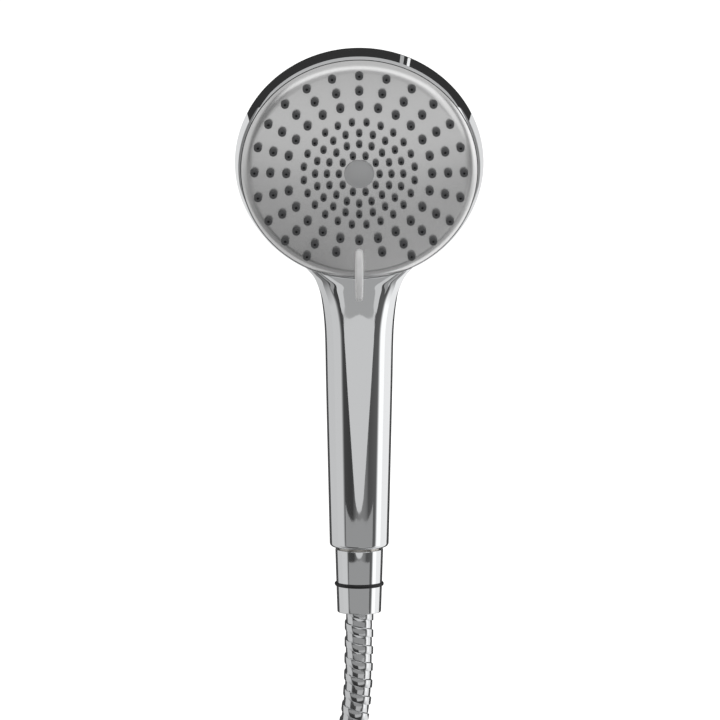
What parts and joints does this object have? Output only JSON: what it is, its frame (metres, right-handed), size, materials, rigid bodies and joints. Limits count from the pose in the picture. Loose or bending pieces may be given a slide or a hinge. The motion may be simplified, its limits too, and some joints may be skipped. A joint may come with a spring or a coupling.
{
  "type": "handheld shower head",
  "caption": "Round handheld shower head in chrome with a satin spray face, silicone nozzles, a lever spray selector, a tapered handle and a coiled metal hose.",
  "frame": {"origin": "middle of the handset's bounding box without the hose, on the surface that its back rests on", "axes": "+Y along the handle towards the head, +Z out of the front, the side the water leaves from, +X to the right seen from the front"},
  "size_m": [0.1812, 0.5465, 0.0637],
  "materials": {
    "chrome_shell": "polished",
    "satin_face": "satin",
    "chrome_trim": "polished",
    "nozzle_silicone": "matte",
    "grey_cap": "satin",
    "inner_plastic": "satin",
    "seal_rubber": "matte",
    "spring_steel": "gloss",
    "steel_screws": "gloss",
    "brass_fitting": "satin",
    "hose_metal": "gloss"
  },
  "bodies": {
    "handset": {"body_shell": "chrome_shell", "valve_hub": "inner_plastic", "port_seal": "seal_rubber", "port_seal_spring": "spring_steel", "hub_screws": "steel_screws", "pivot_washer": "inner_plastic", "pivot_screw": "steel_screws", "detent_ball": "spring_steel", "detent_spring": "spring_steel", "waterway_tube": "inner_plastic", "inlet_seal": "seal_rubber", "duct_seal": "seal_rubber", "inlet_fitting": "brass_fitting", "flow_regulator": "inner_plastic", "hose_washer": "seal_rubber", "filter_screen": "spring_steel", "cone_nut": "chrome_trim", "grip_ring": "seal_rubber", "hose_end_insert": "brass_fitting", "hose": "hose_metal", "hose_coil": "hose_metal", "wall_hose_insert": "brass_fitting", "wall_washer": "seal_rubber"},
    "selector": {"faceplate": "satin_face", "outer_nozzle_mat": "nozzle_silicone", "inner_nozzle_mat": "nozzle_silicone", "centre_cap": "grey_cap", "selector_lever": "chrome_trim", "lever_screws": "steel_screws", "chamber_plate": "inner_plastic"},
    "wall_union": {"wall_nut": "chrome_trim"}
  },
  "joints": [
    {"name": "selector_turn", "type": "hinge", "parent": "handset", "child": "selector", "pos_m": [0, 0.07878, 0.05], "axis": [0, -0.2588, 0.9659], "range_deg": [-25, 25]},
    {"name": "wall_nut_spin", "type": "hinge", "parent": "handset", "child": "wall_union", "pos_m": [0.1064, -0.29352, 0.0264], "axis": [0, 1, 0], "continuous": true}
  ]
}
